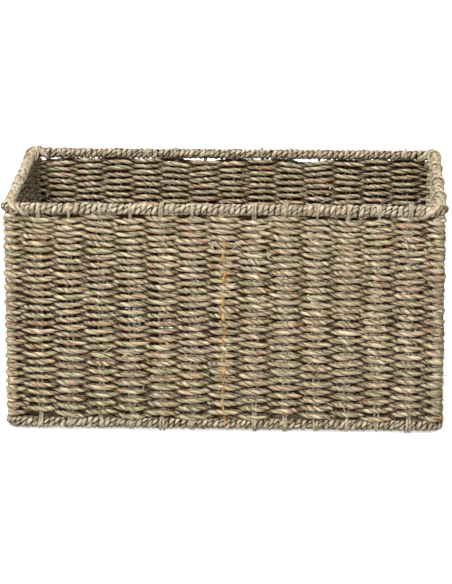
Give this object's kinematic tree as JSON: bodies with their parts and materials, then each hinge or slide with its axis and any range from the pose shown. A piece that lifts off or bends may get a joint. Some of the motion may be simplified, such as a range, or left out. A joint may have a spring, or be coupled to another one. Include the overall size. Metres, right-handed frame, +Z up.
{
  "type": "storage basket",
  "caption": "Open rectangular storage basket: a wire frame bound with seagrass cord, with twisted cord woven over stakes to make four upright walls and a base.",
  "frame": {"origin": "on the ground, under the centre of the basket", "axes": "+X along the length, +Y from the front wall to the back wall, +Z up"},
  "size_m": [0.4048, 0.2548, 0.2147],
  "materials": {
    "frame_wire": "satin",
    "binding_cord": "matte",
    "weft_cord": "matte",
    "stake_cord": "matte",
    "marker_cord": "matte"
  },
  "bodies": {
    "root": {"back_left_corner_weave": "weft_cord", "back_left_lashing": "binding_cord", "back_left_post": "frame_wire", "back_right_corner_weave": "weft_cord", "back_right_lashing": "binding_cord", "back_right_post": "frame_wire", "back_weave": "weft_cord", "base_weave": "weft_cord", "cross_stake_1": "stake_cord", "cross_stake_10": "stake_cord", "cross_stake_11": "stake_cord", "cross_stake_12": "stake_cord", "cross_stake_13": "stake_cord", "cross_stake_2": "stake_cord", "cross_stake_3": "stake_cord", "cross_stake_4": "stake_cord", "cross_stake_5": "stake_cord", "cross_stake_6": "stake_cord", "cross_stake_8": "stake_cord", "cross_stake_9": "stake_cord", "foot_binding": "binding_cord", "foot_wire": "frame_wire", "front_left_corner_weave": "weft_cord", "front_left_lashing": "binding_cord", "front_left_post": "frame_wire", "front_right_corner_weave": "weft_cord", "front_right_lashing": "binding_cord", "front_right_post": "frame_wire", "front_weave": "weft_cord", "left_stake_1": "stake_cord", "left_stake_2": "stake_cord", "left_stake_3": "stake_cord", "left_stake_4": "stake_cord", "left_stake_5": "stake_cord", "left_stake_6": "stake_cord", "left_stake_7": "stake_cord", "left_weave": "weft_cord", "marker_stake": "marker_cord", "right_stake_1": "stake_cord", "right_stake_2": "stake_cord", "right_stake_3": "stake_cord", "right_stake_4": "stake_cord", "right_stake_5": "stake_cord", "right_stake_6": "stake_cord", "right_stake_7": "stake_cord", "right_weave": "weft_cord", "rim_binding": "binding_cord", "rim_wire": "frame_wire"}
  },
  "joints": []
}
